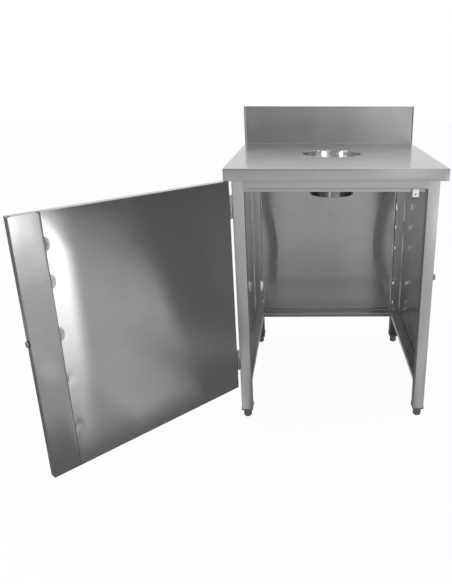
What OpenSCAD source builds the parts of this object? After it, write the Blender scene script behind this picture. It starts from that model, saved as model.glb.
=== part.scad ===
// Waste bin cabinet in stainless steel: a catering cabinet for a free standing bin,
// with a waste chute through the worktop and one side hung door.
// Millimetres. The origin is on the floor under the middle of the worktop,
// +X is right, +Y is towards the wall and +Z is up. The door opens towards -Y.

/* [Worktop] */
// Width of the worktop
cab_w = 700; // [600:1:800]
// Depth of the worktop
cab_d = 700; // [600:1:750]
// Height of the worktop above the floor
top_h = 900; // [850:1:950]
// Height of the turned down edge of the worktop
apron_h = 38; // [34:1:46]
// Thickness of the worktop sheet
sheet_t = 1.2; // [1:0.1:2]
// Thickness of the board inside the worktop
core_t = 28; // [18:1:29]
// Width of the inward fold under the turned down edge
edge_fold = 12; // [8:1:16]
// Gap between the rear frame and the channel that closes the worktop at the back
rear_channel_gap = 2; // [1:0.5:6]

/* [Upstand] */
// Height of the upstand above the worktop
upstand_h = 150; // [60:1:200]
// Thickness of the upstand, front to back
upstand_t = 15; // [10:1:25]
// Height of the fold that comes down behind the upstand
upstand_fold = 20; // [10:1:40]

/* [Waste chute] */
// Radius of the waste hole
chute_r = 106; // [80:1:120]
// Distance of the waste hole behind the middle of the worktop
chute_y = 19.3; // [-20:0.1:40]
// Height of the straight neck at the top of the chute
chute_neck = 20; // [12:1:30]
// Height of the whole chute
chute_h = 148; // [90:1:200]
// Radius of the lower mouth of the chute
chute_mouth_r = 79; // [60:1:80]
// Thickness of the chute sheet
chute_t = 1; // [0.8:0.1:2]
// Gap between the chute and the board inside the worktop
chute_core_gap = 1; // [0.5:0.1:3]

/* [Frame] */
// Width of the square leg tube
leg_w = 38; // [30:1:45]
// Wall of the leg and rail tubes
tube_wall = 1.5; // [1:0.1:3]
// Outer corner radius of the leg tube
leg_corner_r = 3; // [2:0.1:4]
// Distance from the worktop edge in to the side face of a leg
side_overhang = 22; // [18:1:40]
// Distance from the worktop edge in to the front legs
front_overhang = 24; // [24:0.5:40]
// Distance from the worktop edge in to the rear legs
rear_overhang = 22; // [18:1:40]
// Height of the top rails
top_rail_h = 38; // [30:1:45]
// Height of the bottom rails
low_rail_h = 20; // [18:1:40]
// Height of the underside of the bottom rails above the floor
low_rail_z = 130; // [100:1:180]
// Thickness of the back and side panels
panel_t = 1; // [0.8:0.1:2]

/* [Feet] */
// Height of the foot below the leg insert when it is screwed right in
foot_h = 31; // [22:1:45]
// Radius of the foot
foot_r = 14.5; // [12:0.5:18]
// Radius of the sole of the foot
foot_sole_r = 11; // [8:0.5:12]
// Height of the taper above the sole
foot_taper_h = 6; // [3:1:10]
// Radius of the threaded foot stud
foot_stud_r = 5; // [4:0.5:6]
// Length of the foot stud above the foot
foot_stud_up = 30; // [25:1:38]
// Length of the foot stud moulded into the foot
foot_stud_in = 14; // [8:1:18]
// Running gap around the foot stud
foot_stud_gap = 0.05; // [0.02:0.01:0.1]

/* [Leg inserts] */
// Thickness of the insert flange under the leg
insert_flange_t = 4; // [2:0.5:8]
// Distance that the insert flange stands out past the leg
insert_flange_out = 1; // [0.5:0.5:3]
// Height of the insert lip up the outer side of the leg
insert_lip_h = 7; // [4:1:12]
// Height of the insert plug inside the leg
insert_plug_h = 42; // [40:1:60]
// Gap between the insert plug and the leg
insert_gap = 0.1; // [0:0.05:0.3]
// Height of the insert screw above the end of the leg
insert_screw_up = 16; // [10:1:20]
// Radius of the insert screw head
insert_screw_head_r = 6; // [4:0.5:7]
// Height of the insert screw head
insert_screw_head_h = 4.5; // [2.5:0.5:6]
// Radius of the insert screw shank
insert_screw_r = 2.5; // [1.5:0.5:3]
// Length of the insert screw behind the face of the leg
insert_screw_l = 8; // [6:0.5:9]
// Gap between the insert screw and its holes
insert_screw_gap = 0.1; // [0:0.05:0.3]

/* [Door] */
// Angle that the door stands open
door_open = 133; // [0:1:180]
// Distance that the free end of the door stands past the leg
door_end_past = 1.5; // [0:0.5:4]
// Thickness of the door
door_t = 22; // [20:0.5:24]
// Gap between the door and the front of the legs
door_leg_gap = 2; // [1.5:0.1:3]
// Gap between the door and the turned down worktop edge
door_top_gap = 2; // [1:0.5:6]
// Height of the underside of the door above the floor
door_bottom_z = 132; // [100:1:180]
// Thickness of the door sheets
door_sheet_t = 1; // [0.8:0.1:1.5]
// Width of the folded band along the free end of the door
door_band_w = 75; // [50:1:110]
// Seam between the band and the inner sheet
door_seam = 0.5; // [0.3:0.1:1.5]
// Lap of the inner sheet behind the band
door_lap = 15; // [8:1:25]
// Width of the corner relief cuts in the door's top fold
relief_w = 7; // [3:0.5:9]
// Depth of the corner relief cuts in the door's top fold
relief_d = 5; // [2:0.5:6]

/* [Hinges] */
// Distance of the middle of the upper hinge below the edge of the worktop
hinge_drop = 85; // [72:1:162]
// Height of the middle of the lower hinge
hinge_low_z = 237; // [230:1:300]
// Length of a closed hinge
hinge_l = 76; // [60:1:90]
// Radius of the hinge knuckles
knuckle_r = 4.5; // [4:0.1:5]
// Distance of the hinge axis outside the leg
hinge_out = 4; // [4:0.1:6]
// Distance from the hinge axis to the edge of the door
hinge_door_gap = 5.5; // [5.2:0.1:7]
// Distance from the hinge axis back to the face of the closed door
hinge_in = 2.5; // [1:0.1:3]
// Radius of the hinge pin
pin_r = 2.5; // [1.5:0.1:3]
// Running gap around the hinge pin
pin_gap = 0.05; // [0.02:0.01:0.1]
// Thickness of the hinge washer
washer_t = 1; // [0.5:0.1:2]
// Solid end of a knuckle beyond its pin hole
knuckle_end = 4; // [2:0.5:8]
// Gap over the end of the pin
pin_end_gap = 0.5; // [0.2:0.1:1]
// Length of the weld tab on the frame knuckle
frame_tab_l = 9; // [7:0.5:10]
// Length of the weld tab on the door knuckle
door_tab_l = 6; // [4:0.5:7]

/* [Door stop and catch] */
// Height of the stop strip under the front rail
stop_h = 9; // [6:0.5:12]
// Thickness of the stop strip
stop_t = 3; // [1.5:0.5:4]
// Distance that the strip sits behind the face of the front rail
stop_back = 1.5; // [0.5:0.5:4]
// Gap between the strip and the catch
catch_gap = 6; // [3:0.5:12]
// Width of the catch plate
catch_w = 20; // [16:1:30]
// Length of the catch arm towards the leg
catch_arm = 19; // [10:1:22]
// Distance from the leg to the end of the catch arm
catch_end = 9; // [5:0.5:15]
// Height of the catch plate
catch_h = 25; // [22:1:35]
// Thickness of the catch bracket
catch_t = 2; // [1.5:0.5:3]
// Thickness of the catch plate
catch_plate_t = 3; // [2:0.1:3]
// Gap between the catch plate and the closed door
catch_door_gap = 0.3; // [0.3:0.1:1]
// Radius of the hole in the catch plate
catch_hole_r = 2.8; // [1.5:0.1:4]
// Height of that hole above the lower edge of the plate
catch_hole_up = 8; // [6:0.5:10]

/* [Studs] */
// Height of the two studs above the middle of the door
stud_rise = 37; // [-96:1:154]
// Radius of the head of the stud on the leg
leg_stud_r = 11; // [6:0.5:14]
// Height of that head
leg_stud_head_h = 8; // [3:0.5:14]
// Radius of the head of the stud on the door
door_stud_r = 8.5; // [6:0.5:10]
// Height of that head
door_stud_head_h = 4; // [3:0.5:14]
// Height of the bevel on a stud head
stud_bevel = 2; // [0.5:0.5:2.5]
// How far the washer under a stud reaches past its head all round
stud_washer_rim = 0.5; // [0.2:0.1:0.8]
// Thickness of the washer under a stud
stud_washer_t = 2; // [1:0.5:5]
// Radius of a stud shank
stud_shank_r = 3; // [2:0.5:4]
// Length of a stud shank behind its washer
stud_shank_l = 9; // [4:0.5:14]
// Gap around a stud shank
stud_gap = 0.1; // [0:0.05:0.3]

/* [Hidden] */

$fn = 64;
half_w = cab_w / 2;
half_d = cab_d / 2;
apron_z = top_h - apron_h;
core_z = top_h - sheet_t - core_t;
rear_channel_d = rear_overhang - rear_channel_gap;
upstand_y = half_d - upstand_t;
upstand_top = top_h + upstand_h;
cap_z = top_h - 2 * sheet_t;

leg_xo = half_w - side_overhang;
leg_xi = leg_xo - leg_w;
front_yo = -half_d + front_overhang;
front_yi = front_yo + leg_w;
rear_yo = half_d - rear_overhang;
rear_yi = rear_yo - leg_w;
leg_z = foot_h + insert_flange_t;
top_rail_z = core_z - top_rail_h;
low_rail_top = low_rail_z + low_rail_h;

hinge_x = -leg_xo - hinge_out;
hinge_y = front_yo - door_leg_gap - hinge_in;
door_x0 = hinge_door_gap;
door_x1 = leg_xo + door_end_past - hinge_x;
door_y1 = hinge_in;
door_y0 = door_y1 - door_t;
door_top_z = apron_z - door_top_gap;
hinge_top_z = apron_z - hinge_drop;
seam_x = door_x1 - door_band_w;

catch_x0 = leg_xi - catch_end - catch_arm - catch_w;
catch_y = front_yo - door_leg_gap + catch_door_gap;
stud_y = (front_yo + front_yi) / 2;
stud_z = (door_bottom_z + door_top_z) / 2 + stud_rise;

steel = [0.74, 0.75, 0.76];
dull_steel = [0.6, 0.61, 0.62];
dark_steel = [0.4, 0.41, 0.42];
black_plastic = [0.12, 0.12, 0.13];
white_plastic = [0.93, 0.93, 0.92];
board = [0.72, 0.58, 0.4];
brass = [0.78, 0.62, 0.3];

// A box between two opposite corners
module block(lo, hi) {
    translate(lo) cube(hi - lo);
}

// Children at both ends of the width, the second one mirrored
module both_sides() {
    children();
    mirror([1, 0, 0]) children();
}

// Children for a piece that rides on the door, drawn closed around the hinge axis
module on_door() {
    translate([hinge_x, hinge_y, 0]) rotate([0, 0, -door_open]) children();
}

// Worktop

module worktop_shell() {
    color(steel) {
        difference() {
            block([-half_w, -half_d, top_h - sheet_t], [half_w, upstand_y, top_h]);
            translate([0, chute_y, top_h - sheet_t - 1])
                cylinder(r = chute_r + chute_t, h = sheet_t + 2);
        }
        block([-half_w, -half_d, apron_z], [half_w, -half_d + sheet_t, top_h]);
        block([-half_w, -half_d, apron_z], [half_w, -half_d + edge_fold, apron_z + sheet_t]);
        both_sides() {
            block([half_w - sheet_t, -half_d, apron_z], [half_w, upstand_y, top_h]);
            block([half_w - sheet_t, -half_d, apron_z], [half_w, half_d, cap_z]);
            block([half_w - edge_fold, -half_d, apron_z],
                  [half_w, half_d - rear_channel_d, apron_z + sheet_t]);
        }
        upstand_sheet();
    }
}

// The upstand is folded up from the same sheet as the worktop
module upstand_sheet() {
    end_x = half_w - sheet_t;
    block([-end_x, upstand_y, top_h - sheet_t], [end_x, upstand_y + sheet_t, upstand_top]);
    block([-end_x, upstand_y, upstand_top - sheet_t], [end_x, half_d, upstand_top]);
    block([-end_x, half_d - sheet_t, upstand_top - upstand_fold], [end_x, half_d, upstand_top]);
}

module upstand_end_caps() {
    color(steel) both_sides()
        block([half_w - sheet_t, upstand_y, cap_z], [half_w, half_d, upstand_top]);
}

module worktop_core() {
    edge_x = half_w - sheet_t;
    color(board) difference() {
        block([-edge_x, -half_d + sheet_t, core_z], [edge_x, upstand_y, top_h - sheet_t]);
        translate([0, chute_y, core_z - 1])
            cylinder(r = chute_r + chute_t + chute_core_gap, h = core_t + 2);
    }
}

module worktop_rear_channel() {
    end_x = half_w - sheet_t;
    color(dull_steel) {
        block([-end_x, half_d - sheet_t, apron_z], [end_x, half_d, top_h]);
        block([-end_x, upstand_y + sheet_t, top_h - sheet_t], [end_x, half_d, top_h]);
        block([-end_x, half_d - rear_channel_d, apron_z], [end_x, half_d, apron_z + sheet_t]);
    }
}

module waste_chute() {
    neck_z = top_h - chute_neck;
    low_z = top_h - chute_h;
    color(steel) translate([0, chute_y, 0]) rotate_extrude() polygon([
        [chute_r, top_h], [chute_r, neck_z], [chute_mouth_r, low_z],
        [chute_mouth_r + chute_t, low_z], [chute_r + chute_t, neck_z], [chute_r + chute_t, top_h]
    ]);
}

// Frame

// A square leg tube with rounded corners, its lowest corner at x, y and its screw hole towards side
module leg_tube(x, y, side) {
    face_x = side > 0 ? x + leg_w - tube_wall - 1 : x - 1;
    color(steel) difference() {
        union() {
            block([x + leg_corner_r, y, leg_z], [x + leg_w - leg_corner_r, y + leg_w, core_z]);
            block([x, y + leg_corner_r, leg_z], [x + leg_w, y + leg_w - leg_corner_r, core_z]);
            for (dx = [leg_corner_r, leg_w - leg_corner_r], dy = [leg_corner_r, leg_w - leg_corner_r])
                translate([x + dx, y + dy, leg_z]) cylinder(r = leg_corner_r, h = core_z - leg_z);
        }
        block([x + tube_wall, y + tube_wall, leg_z - 1],
              [x + leg_w - tube_wall, y + leg_w - tube_wall, core_z + 1]);
        translate([face_x, y + leg_w / 2, leg_z + insert_screw_up]) rotate([0, 90, 0])
            cylinder(r = insert_screw_r + insert_screw_gap, h = tube_wall + 2);
    }
}

module front_left_leg() {
    leg_tube(-leg_xo, front_yo, 1);
}

module front_right_leg() {
    difference() {
        leg_tube(leg_xi, front_yo, -1);
        translate([leg_xo - tube_wall - 1, stud_y, stud_z]) rotate([0, 90, 0])
            cylinder(r = stud_shank_r + stud_gap, h = tube_wall + 2);
    }
}

module rear_left_leg() {
    leg_tube(-leg_xo, rear_yi, 1);
}

module rear_right_leg() {
    leg_tube(leg_xi, rear_yi, -1);
}

// A rail tube that runs left to right between two legs
module rail_across(y, z, height) {
    color(steel) difference() {
        block([-leg_xi, y, z], [leg_xi, y + leg_w, z + height]);
        block([-leg_xi - 1, y + tube_wall, z + tube_wall],
              [leg_xi + 1, y + leg_w - tube_wall, z + height - tube_wall]);
    }
}

// A rail tube that runs front to back between two legs
module rail_along(x, z, height) {
    color(steel) difference() {
        block([x, front_yi, z], [x + leg_w, rear_yi, z + height]);
        block([x + tube_wall, front_yi - 1, z + tube_wall],
              [x + leg_w - tube_wall, rear_yi + 1, z + height - tube_wall]);
    }
}

module front_top_rail() {
    rail_across(front_yo, top_rail_z, top_rail_h);
}

module rear_top_rail() {
    rail_across(rear_yi, top_rail_z, top_rail_h);
}

module left_top_rail() {
    rail_along(-leg_xo, top_rail_z, top_rail_h);
}

module right_top_rail() {
    rail_along(leg_xi, top_rail_z, top_rail_h);
}

module rear_bottom_rail() {
    rail_across(rear_yi, low_rail_z, low_rail_h);
}

module left_bottom_rail() {
    rail_along(-leg_xo, low_rail_z, low_rail_h);
}

module right_bottom_rail() {
    rail_along(leg_xi, low_rail_z, low_rail_h);
}

// Panels

module back_panel() {
    color(steel) block([-leg_xi, rear_yo - panel_t, low_rail_top], [leg_xi, rear_yo, top_rail_z]);
}

module left_side_panel() {
    color(steel) block([-leg_xo, front_yi, low_rail_top], [-leg_xo + panel_t, rear_yi, top_rail_z]);
}

module right_side_panel() {
    color(steel) block([leg_xo - panel_t, front_yi, low_rail_top], [leg_xo, rear_yi, top_rail_z]);
}

// Door stop and catch under the front rail

module door_stop_strip() {
    y = front_yo + stop_back;
    color(steel) block([-leg_xi, y, top_rail_z - stop_h], [catch_x0 - catch_gap, y + stop_t, top_rail_z]);
}

// Hole through the catch plate and the bracket behind it
module catch_hole() {
    translate([catch_x0 + catch_w / 2, catch_y - 1, top_rail_z - catch_h + catch_hole_up]) rotate([-90, 0, 0])
        cylinder(r = catch_hole_r, h = catch_plate_t + catch_t + 2);
}

module catch_bracket() {
    y = catch_y + catch_plate_t;
    color(dull_steel) difference() {
        union() {
            block([catch_x0, y, top_rail_z - stop_h],
                  [catch_x0 + catch_w + catch_arm, y + catch_t, top_rail_z]);
            block([catch_x0, y, top_rail_z - catch_h],
                  [catch_x0 + catch_w, y + catch_t, top_rail_z]);
        }
        catch_hole();
    }
}

module catch_plate() {
    color(white_plastic) difference() {
        block([catch_x0, catch_y, top_rail_z - catch_h],
              [catch_x0 + catch_w, catch_y + catch_plate_t, top_rail_z]);
        catch_hole();
    }
}

// Feet and leg inserts

// Plug, flange and outer lip for a leg whose middle is at x, y and whose outer side is out
module leg_insert(x, y, out) {
    plug = leg_w / 2 - tube_wall - insert_gap;
    flange = leg_w / 2 + insert_flange_out;
    screw_l = insert_screw_l + insert_screw_gap;
    color(black_plastic) translate([x, y, 0]) difference() {
        union() {
            block([-flange, -flange, foot_h], [flange, flange, leg_z]);
            block([-plug, -plug, foot_h], [plug, plug, leg_z + insert_plug_h]);
            mirror([out > 0 ? 0 : 1, 0, 0])
                block([leg_w / 2, -leg_w / 2, foot_h], [flange, leg_w / 2, leg_z + insert_lip_h]);
        }
        translate([0, 0, foot_h - 1])
            cylinder(r = foot_stud_r + foot_stud_gap, h = insert_flange_t + insert_plug_h + 2);
        mirror([out > 0 ? 1 : 0, 0, 0]) translate([leg_w / 2 - screw_l, 0, leg_z + insert_screw_up])
            rotate([0, 90, 0]) cylinder(r = insert_screw_r + insert_screw_gap, h = screw_l);
    }
}

module front_left_insert() {
    leg_insert(-leg_xo + leg_w / 2, front_yo + leg_w / 2, -1);
}

module front_right_insert() {
    leg_insert(leg_xo - leg_w / 2, front_yo + leg_w / 2, 1);
}

module rear_left_insert() {
    leg_insert(-leg_xo + leg_w / 2, rear_yi + leg_w / 2, -1);
}

module rear_right_insert() {
    leg_insert(leg_xo - leg_w / 2, rear_yi + leg_w / 2, 1);
}

// Four screws through the inner sides of the legs into the inserts
module insert_screws() {
    color(dark_steel) both_sides() for (y = [front_yo + leg_w / 2, rear_yi + leg_w / 2])
        translate([leg_xi, y, leg_z + insert_screw_up]) rotate([0, -90, 0]) {
            cylinder(r1 = insert_screw_head_r, r2 = insert_screw_head_r * 0.6, h = insert_screw_head_h);
            translate([0, 0, -insert_screw_l]) cylinder(r = insert_screw_r, h = insert_screw_l + 1);
        }
}

// A foot on the floor under x, y
module foot(x, y) {
    color(black_plastic) translate([x, y, 0]) difference() {
        union() {
            cylinder(r1 = foot_sole_r, r2 = foot_r, h = foot_taper_h);
            translate([0, 0, foot_taper_h]) cylinder(r = foot_r, h = foot_h - foot_taper_h);
        }
        translate([0, 0, foot_h - foot_stud_in])
            cylinder(r = foot_stud_r + foot_stud_gap, h = foot_stud_in + 1);
    }
}

module front_left_foot() {
    foot(-leg_xo + leg_w / 2, front_yo + leg_w / 2);
}

module front_right_foot() {
    foot(leg_xo - leg_w / 2, front_yo + leg_w / 2);
}

module rear_left_foot() {
    foot(-leg_xo + leg_w / 2, rear_yi + leg_w / 2);
}

module rear_right_foot() {
    foot(leg_xo - leg_w / 2, rear_yi + leg_w / 2);
}

// The threaded stud of a foot, moulded into it at its lower end
module foot_stud(x, y) {
    color(dark_steel) translate([x, y, foot_h - foot_stud_in])
        cylinder(r = foot_stud_r, h = foot_stud_in + foot_stud_up);
}

module front_left_foot_stud() {
    foot_stud(-leg_xo + leg_w / 2, front_yo + leg_w / 2);
}

module front_right_foot_stud() {
    foot_stud(leg_xo - leg_w / 2, front_yo + leg_w / 2);
}

module rear_left_foot_stud() {
    foot_stud(-leg_xo + leg_w / 2, rear_yi + leg_w / 2);
}

module rear_right_foot_stud() {
    foot_stud(leg_xo - leg_w / 2, rear_yi + leg_w / 2);
}

// Hinges: the frame knuckle is below, the door knuckle drops over the pin from above

module frame_knuckle(z) {
    low = z - hinge_l / 2;
    high = z - washer_t / 2;
    color(dull_steel) translate([hinge_x, hinge_y, 0]) difference() {
        union() {
            translate([0, 0, low]) cylinder(r = knuckle_r, h = high - low);
            block([0, 0, low], [hinge_out, frame_tab_l, high]);
        }
        translate([0, 0, low + knuckle_end]) cylinder(r = pin_r + pin_gap, h = hinge_l);
    }
}

module door_knuckle(z) {
    low = z + washer_t / 2;
    high = z + hinge_l / 2;
    color(dull_steel) on_door() difference() {
        union() {
            translate([0, 0, low]) cylinder(r = knuckle_r, h = high - low);
            block([0, -door_tab_l, low], [hinge_door_gap, hinge_in, high]);
        }
        translate([0, 0, low - 1]) cylinder(r = pin_r + pin_gap, h = high - knuckle_end - low + 1);
    }
}

module hinge_pin(z) {
    low = z - hinge_l / 2 + knuckle_end;
    color(steel) translate([hinge_x, hinge_y, low])
        cylinder(r = pin_r, h = hinge_l - 2 * knuckle_end - pin_end_gap);
}

module hinge_washer(z) {
    color(brass) translate([hinge_x, hinge_y, z - washer_t / 2]) difference() {
        cylinder(r = knuckle_r, h = washer_t);
        translate([0, 0, -1]) cylinder(r = pin_r + pin_gap, h = washer_t + 2);
    }
}

module upper_hinge_frame_knuckle() {
    frame_knuckle(hinge_top_z);
}

module upper_hinge_pin() {
    hinge_pin(hinge_top_z);
}

module upper_hinge_washer() {
    hinge_washer(hinge_top_z);
}

module upper_hinge_door_knuckle() {
    door_knuckle(hinge_top_z);
}

module lower_hinge_frame_knuckle() {
    frame_knuckle(hinge_low_z);
}

module lower_hinge_pin() {
    hinge_pin(hinge_low_z);
}

module lower_hinge_washer() {
    hinge_washer(hinge_low_z);
}

module lower_hinge_door_knuckle() {
    door_knuckle(hinge_low_z);
}

// Door

// Outer skin with folds on four sides, and the wide band folded in at the free end
module door_pan() {
    t = door_sheet_t;
    color(steel) on_door() difference() {
        union() {
            block([door_x0, door_y0, door_bottom_z], [door_x1, door_y0 + t, door_top_z]);
            block([door_x0, door_y0, door_bottom_z], [door_x0 + t, door_y1, door_top_z]);
            block([door_x1 - t, door_y0, door_bottom_z], [door_x1, door_y1, door_top_z]);
            block([door_x0, door_y0, door_bottom_z], [door_x1, door_y1, door_bottom_z + t]);
            block([door_x0, door_y0, door_top_z - t], [door_x1, door_y1, door_top_z]);
            block([seam_x, door_y1 - t, door_bottom_z], [door_x1, door_y1, door_top_z - t]);
        }
        for (x = [seam_x + t + relief_w / 2, door_x1 - t - relief_w / 2])
            block([x - relief_w / 2, door_y1 - relief_d, door_top_z - t],
                  [x + relief_w / 2, door_y1 + 1, door_top_z + 1]);
        translate([door_x1 - t - 1, (door_y0 + door_y1) / 2, stud_z]) rotate([0, 90, 0])
            cylinder(r = stud_shank_r + stud_gap, h = t + 2);
    }
}

// Inner sheet, set flush between the folds and lapped behind the band
module door_liner() {
    t = door_sheet_t;
    edge_x = seam_x - door_seam;
    color(steel) on_door() {
        block([door_x0 + t, door_y1 - t, door_bottom_z + t], [edge_x, door_y1, door_top_z - t]);
        block([edge_x - door_lap, door_y1 - 2 * t, door_bottom_z + t],
              [seam_x + door_lap, door_y1 - t, door_top_z - t]);
    }
}

// Studs

// A bevelled stud with its shank, its washer seat at the origin and its head towards +X
module stud_shape(r, head_h) {
    rotate([0, 90, 0]) {
        translate([0, 0, stud_washer_t]) cylinder(r = r, h = head_h - stud_bevel);
        translate([0, 0, stud_washer_t + head_h - stud_bevel])
            cylinder(r1 = r, r2 = r - stud_bevel, h = stud_bevel);
        translate([0, 0, -stud_shank_l]) cylinder(r = stud_shank_r, h = stud_shank_l + stud_washer_t + 1);
    }
}

// The washer under a stud head of that radius
module stud_washer_shape(r) {
    rotate([0, 90, 0]) difference() {
        cylinder(r = r + stud_washer_rim, h = stud_washer_t);
        translate([0, 0, -1]) cylinder(r = stud_shank_r, h = stud_washer_t + 2);
    }
}

module leg_stud() {
    color(dull_steel) translate([leg_xo, stud_y, stud_z]) stud_shape(leg_stud_r, leg_stud_head_h);
}

module leg_stud_washer() {
    color(black_plastic) translate([leg_xo, stud_y, stud_z]) stud_washer_shape(leg_stud_r);
}

module door_stud() {
    color(dull_steel) on_door() translate([door_x1, (door_y0 + door_y1) / 2, stud_z])
        stud_shape(door_stud_r, door_stud_head_h);
}

module door_stud_washer() {
    color(black_plastic) on_door()
        translate([door_x1, (door_y0 + door_y1) / 2, stud_z]) stud_washer_shape(door_stud_r);
}

worktop_shell();
upstand_end_caps();
worktop_core();
worktop_rear_channel();
waste_chute();
front_left_leg();
front_right_leg();
rear_left_leg();
rear_right_leg();
front_top_rail();
rear_top_rail();
left_top_rail();
right_top_rail();
rear_bottom_rail();
left_bottom_rail();
right_bottom_rail();
back_panel();
left_side_panel();
right_side_panel();
door_stop_strip();
catch_bracket();
catch_plate();
front_left_insert();
front_right_insert();
rear_left_insert();
rear_right_insert();
insert_screws();
front_left_foot();
front_right_foot();
rear_left_foot();
rear_right_foot();
front_left_foot_stud();
front_right_foot_stud();
rear_left_foot_stud();
rear_right_foot_stud();
upper_hinge_frame_knuckle();
upper_hinge_pin();
upper_hinge_washer();
upper_hinge_door_knuckle();
lower_hinge_frame_knuckle();
lower_hinge_pin();
lower_hinge_washer();
lower_hinge_door_knuckle();
door_pan();
door_liner();
door_stud();
door_stud_washer();
leg_stud();
leg_stud_washer();
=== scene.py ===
"""Waste bin cabinet in stainless steel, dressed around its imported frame.

Metres in Blender, millimetres in the shape functions. +X is right, +Y is towards the wall, +Z is up.
"""

import math

import bmesh
import bpy
import numpy as np
from mathutils import Matrix, Vector


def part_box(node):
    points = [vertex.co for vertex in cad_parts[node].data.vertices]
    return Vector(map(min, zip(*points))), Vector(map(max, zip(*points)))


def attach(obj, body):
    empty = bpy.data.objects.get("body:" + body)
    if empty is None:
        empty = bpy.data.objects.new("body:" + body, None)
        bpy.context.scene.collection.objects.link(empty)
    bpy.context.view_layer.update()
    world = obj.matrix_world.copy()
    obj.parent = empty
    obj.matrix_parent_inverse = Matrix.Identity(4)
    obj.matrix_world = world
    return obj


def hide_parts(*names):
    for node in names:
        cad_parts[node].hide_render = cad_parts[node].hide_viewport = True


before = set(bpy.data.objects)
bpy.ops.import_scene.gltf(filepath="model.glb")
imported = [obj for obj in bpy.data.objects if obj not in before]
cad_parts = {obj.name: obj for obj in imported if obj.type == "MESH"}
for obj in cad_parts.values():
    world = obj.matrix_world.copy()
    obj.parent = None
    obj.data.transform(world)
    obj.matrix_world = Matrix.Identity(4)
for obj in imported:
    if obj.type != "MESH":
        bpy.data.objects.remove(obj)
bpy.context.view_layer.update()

MM = 0.001


def box_mm(node):
    """The low and the high corner of a frame node, in millimetres."""
    return np.array(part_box(node)) / MM


def side_of(node, side):
    """Where a frame node ends on one side, such as "low z", in millimetres and rounded to 0.1."""
    end, axis = side.split()
    return round(box_mm(node)[("low", "high").index(end), "xyz".index(axis)], 1)


# Places read from the frame, in millimetres

HALF_TOP = side_of("worktop_shell", "high x")
APRON_FOOT = side_of("worktop_shell", "low z")
WORKTOP_TOP = side_of("worktop_rear_channel", "high z")
UPSTAND_FRONT = side_of("upstand_end_caps", "low y")
UPSTAND_TOP = side_of("upstand_end_caps", "high z")
CAP_INNER = side_of("worktop_core", "high x")
CHUTE_AXIS = box_mm("waste_chute")[:, :2].mean(0).round(1)
CHUTE_RADIUS = side_of("waste_chute", "high x")
CHUTE_FOOT = side_of("waste_chute", "low z")
LEG_INNER = side_of("rear_right_leg", "low x")
LEG_OUTER = side_of("rear_right_leg", "high x")
FRONT_LEG_FRONT = side_of("front_right_leg", "low y")
FRONT_LEG_BACK = side_of("front_right_leg", "high y")
REAR_LEG_FRONT = side_of("rear_right_leg", "low y")
RAIL_FOOT = side_of("rear_bottom_rail", "low z")
SHEET_FACE = side_of("back_panel", "low y")
SHEET_LOW = side_of("back_panel", "low z")
SHEET_HIGH = side_of("back_panel", "high z")
KNUCKLE_BACK = side_of("upper_hinge_frame_knuckle", "high y")

# The door's sizes, in millimetres from the hinge axis with the door closed

HINGE = box_mm("upper_hinge_pin")[:, :2].mean(0).round(1)
DOOR_ANGLE = math.radians(133)
DOOR_EDGE, DOOR_END = 5.5, 661.5
DOOR_FRONT, DOOR_BACK = -19.5, 2.5
DOOR_LOW, DOOR_HIGH = side_of("door_pan", "low z"), side_of("door_pan", "high z")
SEAM = 586.5

# In millimetres too: bend radii, the camera's place, and each door spot weld's height and depth

BEND, CORNER = 1.0, 1.2
EYE = np.array([-90.45, -2106.61, 1166.07])
SPOTS = (779, 682, 537, 407, 261)
SPOT_DEPTHS = (0.5, 0.5, 0.6, 1.5, 1.5)

# Shapes


def quarter(start, stop, count):
    """Angles in radians between two angles in degrees."""
    return np.radians(np.linspace(start, stop, count))


def eased(t):
    """3t^2 - 2t^3 between 0 and 1, and flat outside."""
    t = np.clip(t, 0, 1)
    return t * t * (3 - 2 * t)


def curve(value, *knots):
    """Straight lines through knots of (value, result), and flat beyond the first and the last."""
    return np.interp(value, *zip(*knots))


def sheet_faces(rows, columns, closed=False):
    """Quads between the points of a grid of rows and columns. A closed one joins its last column to its
    first."""
    r, c = np.meshgrid(np.arange(rows - 1), np.arange(columns if closed else columns - 1), indexing="ij")
    n = (c + 1) % columns
    quads = [r * columns + c, r * columns + n, (r + 1) * columns + n, (r + 1) * columns + c]
    return np.stack(quads, -1).reshape(-1, 4)


def placed(name, data):
    """A new object in the scene."""
    made = bpy.data.objects.new(name, data)
    bpy.context.scene.collection.objects.link(made)
    return made


def smoothed(mesh, angle):
    """Shades a mesh smooth, but for its edges sharper than that angle in degrees."""
    mesh.polygons.foreach_set("use_smooth", np.full(len(mesh.polygons), True))
    mesh.set_sharp_from_angle(angle=math.radians(angle))


def piece(name, shape, finish, body, stands_for=(), thickness=0.0, weld=False):
    """A new piece from its points in millimetres and its faces, in its place in the frame, on that body."""
    sharp = 42
    points, faces = shape
    mesh = bpy.data.meshes.new(name)
    verts = np.asarray(points, float).reshape(-1, 3) * MM
    mesh.from_pydata(verts.tolist(), [], [list(map(int, f)) for f in faces])
    shaped = bmesh.new()
    shaped.from_mesh(mesh)
    bmesh.ops.remove_doubles(shaped, verts=shaped.verts, dist=2e-6)
    bmesh.ops.dissolve_degenerate(shaped, edges=shaped.edges, dist=1e-6)
    if weld:
        bmesh.ops.recalc_face_normals(shaped, faces=shaped.faces)
    shaped.to_mesh(mesh)
    shaped.free()
    smoothed(mesh, sharp)
    mesh.materials.append(finish["material"])
    made = placed(name, mesh)
    if thickness:
        wall = made.modifiers.new("sheet thickness", "SOLIDIFY")
        wall.thickness = thickness * MM
        wall.offset = -1
    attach(made, body)
    if stands_for:
        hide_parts(*stands_for)
    return made


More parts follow.
